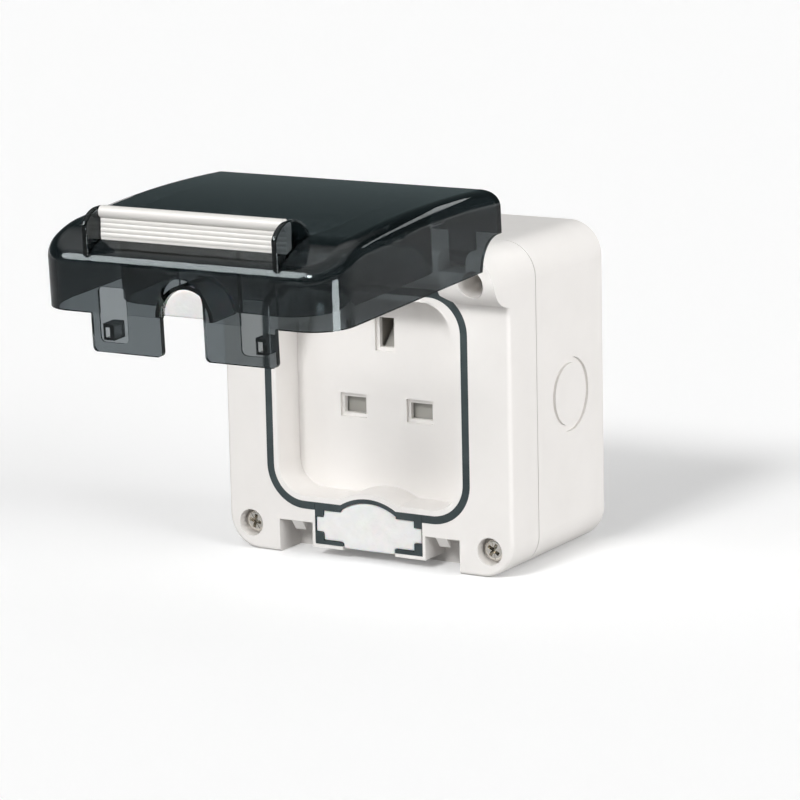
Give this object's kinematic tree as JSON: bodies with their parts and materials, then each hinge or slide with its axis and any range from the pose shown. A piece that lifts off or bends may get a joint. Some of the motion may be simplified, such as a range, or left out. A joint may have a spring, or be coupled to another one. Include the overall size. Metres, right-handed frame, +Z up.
{
  "type": "outdoor weatherproof socket",
  "caption": "Surface-mounted weatherproof flat-pin mains socket with a hinged smoked lid, sealing gasket and a foam cable seal.",
  "frame": {"origin": "centre of the back face, where the socket meets the wall", "axes": "+X to the socket's right seen from the front, +Y into the wall, +Z up; the front faces -Y"},
  "size_m": [0.095, 0.1481, 0.115],
  "materials": {
    "housing": "fine matt grain",
    "socket_plate": "smooth satin",
    "socket_base": "plain moulded",
    "shutter": "plain moulded",
    "seal_rubber": "soft black with a green tinge",
    "foam": "white closed-cell foam",
    "smoked_plastic": "clear smoked, polished",
    "grip_plastic": "satin off-white",
    "brass": "stamped and machined",
    "screw_steel": "bright nickel plate",
    "pin_steel": "drawn wire",
    "spring_steel": "drawn wire"
  },
  "bodies": {
    "housing": {"back_box": "housing", "front_frame": "housing", "hinge_hood": "housing", "body_seal": "seal_rubber", "face_gasket": "seal_rubber", "foam_block": "foam", "foam_holder": "seal_rubber", "socket_plate": "socket_plate", "socket_base": "socket_base", "shutter_spring": "spring_steel", "live_contact": "brass", "neutral_contact": "brass", "earth_contact": "brass", "live_terminal": "brass", "neutral_terminal": "brass", "earth_terminal": "brass", "terminal_screws": "screw_steel", "base_screws": "screw_steel", "plate_screws": "screw_steel", "cover_screws": "screw_steel", "hinge_pin_left": "pin_steel", "hinge_pin_right": "pin_steel"},
    "lid": {"lid": "smoked_plastic", "grip_bar": "grip_plastic", "lid_foam": "foam"},
    "shutter": {"shutter": "shutter"}
  },
  "joints": [
    {"name": "lid_hinge", "type": "hinge", "parent": "housing", "child": "lid", "pos_m": [0, -0.05623, 0.04418], "axis": [1, 0, 0], "range_deg": [0, 87.2]},
    {"name": "shutter_slide", "type": "slide", "parent": "housing", "child": "shutter", "axis": [0, 0, -1], "range_m": [0, 0.0062], "stiffness_N_per_m": 80, "springref_m": -0.004, "deforming": ["shutter_spring"]}
  ]
}
